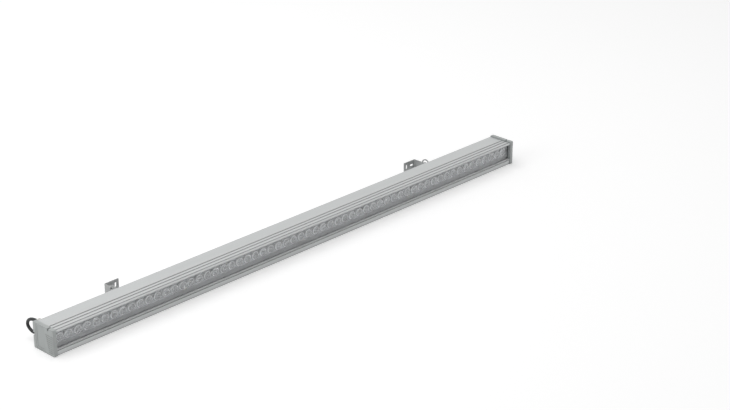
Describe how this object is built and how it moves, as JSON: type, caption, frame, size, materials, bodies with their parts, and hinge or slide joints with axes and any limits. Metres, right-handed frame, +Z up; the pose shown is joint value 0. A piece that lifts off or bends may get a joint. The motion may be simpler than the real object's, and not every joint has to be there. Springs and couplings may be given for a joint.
{
  "type": "outdoor wall washer light",
  "caption": "Long slim aluminium bar light with a row of round lenses behind glass, a short cable and two sliding, tilting wall brackets on its back.",
  "frame": {"origin": "centre of the housing's base face, midway between the end caps", "axes": "+X along the bar away from the cable end, +Y from the window to the wall brackets, +Z up"},
  "size_m": [1.2, 0.1042, 0.0502],
  "materials": {
    "anodised_aluminium": "satin",
    "cast_caps": "matt",
    "trim_aluminium": "satin",
    "black_rubber": "matt",
    "steel_screws": "satin",
    "clear_glass": "clear",
    "pad_silicone": "matt",
    "board_mask": "solder mask",
    "emitters": "matt",
    "lens_acrylic": "clear",
    "white_nylon": "satin",
    "driver_laminate": "solder mask",
    "capacitor_sleeve": "gloss",
    "ferrite": "matt",
    "black_resin": "matt",
    "terminal_plastic": "matt",
    "wire_red": "gloss",
    "wire_brown": "gloss",
    "cable_sheath": "satin",
    "exit_plate_paint": "satin",
    "nickel_brass": "nickel plated",
    "bracket_steel": "satin",
    "steel_bolts": "satin"
  },
  "bodies": {
    "lamp": {"housing": "anodised_aluminium", "end_cap_left": "cast_caps", "end_cap_right": "cast_caps", "end_gasket_left": "black_rubber", "end_gasket_right": "black_rubber", "end_cap_screws": "steel_screws", "end_trim_left": "trim_aluminium", "end_trim_right": "trim_aluminium", "front_glass": "clear_glass", "glass_seal_top": "black_rubber", "glass_seal_bottom": "black_rubber", "thermal_pads": "pad_silicone", "led_board_1": "board_mask", "led_board_2": "board_mask", "led_board_3": "board_mask", "led_board_4": "board_mask", "led_chips": "emitters", "lens_strip_1": "lens_acrylic", "lens_strip_2": "lens_acrylic", "lens_strip_3": "lens_acrylic", "lens_strip_4": "lens_acrylic", "board_screws": "steel_screws", "board_plugs": "white_nylon", "driver_tray": "white_nylon", "driver_board": "driver_laminate", "driver_capacitors": "capacitor_sleeve", "driver_inductors": "ferrite", "driver_chips": "black_resin", "driver_terminals": "terminal_plastic", "driver_screws": "steel_screws", "led_feed_wires": "wire_red", "supply_wires": "wire_brown", "cable_tail": "cable_sheath", "exit_plate": "exit_plate_paint", "exit_plate_screws": "steel_screws", "cable_gland": "nickel_brass", "gland_seal": "black_rubber", "gland_nut": "nickel_brass", "gland_locknut": "nickel_brass", "supply_cable": "cable_sheath"},
    "left_foot": {"foot_bracket_left": "bracket_steel", "foot_bolt_left": "steel_bolts", "slot_nut_left": "steel_bolts", "foot_washer_left": "steel_bolts", "friction_washer_left": "white_nylon", "pivot_bolt_left": "steel_bolts", "pivot_washers_left": "steel_bolts", "pivot_nut_left": "steel_bolts"},
    "left_wall": {"wall_bracket_left": "bracket_steel"},
    "right_foot": {"foot_bracket_right": "bracket_steel", "foot_bolt_right": "steel_bolts", "slot_nut_right": "steel_bolts", "foot_washer_right": "steel_bolts", "friction_washer_right": "white_nylon", "pivot_bolt_right": "steel_bolts", "pivot_washers_right": "steel_bolts", "pivot_nut_right": "steel_bolts"},
    "right_wall": {"wall_bracket_right": "bracket_steel"}
  },
  "joints": [
    {"name": "left_slide", "type": "slide", "parent": "lamp", "child": "left_foot", "axis": [1, 0, 0], "range_m": [-0.09, 0.35]},
    {"name": "left_tilt", "type": "hinge", "parent": "left_foot", "child": "left_wall", "pos_m": [-0.4075, 0.04575, 0.0265], "axis": [1, 0, 0], "range_deg": [-90, 90]},
    {"name": "right_slide", "type": "slide", "parent": "lamp", "child": "right_foot", "axis": [1, 0, 0], "range_m": [-0.35, 0.168]},
    {"name": "right_tilt", "type": "hinge", "parent": "right_foot", "child": "right_wall", "pos_m": [0.4075, 0.04575, 0.0265], "axis": [1, 0, 0], "range_deg": [-90, 90]}
  ]
}
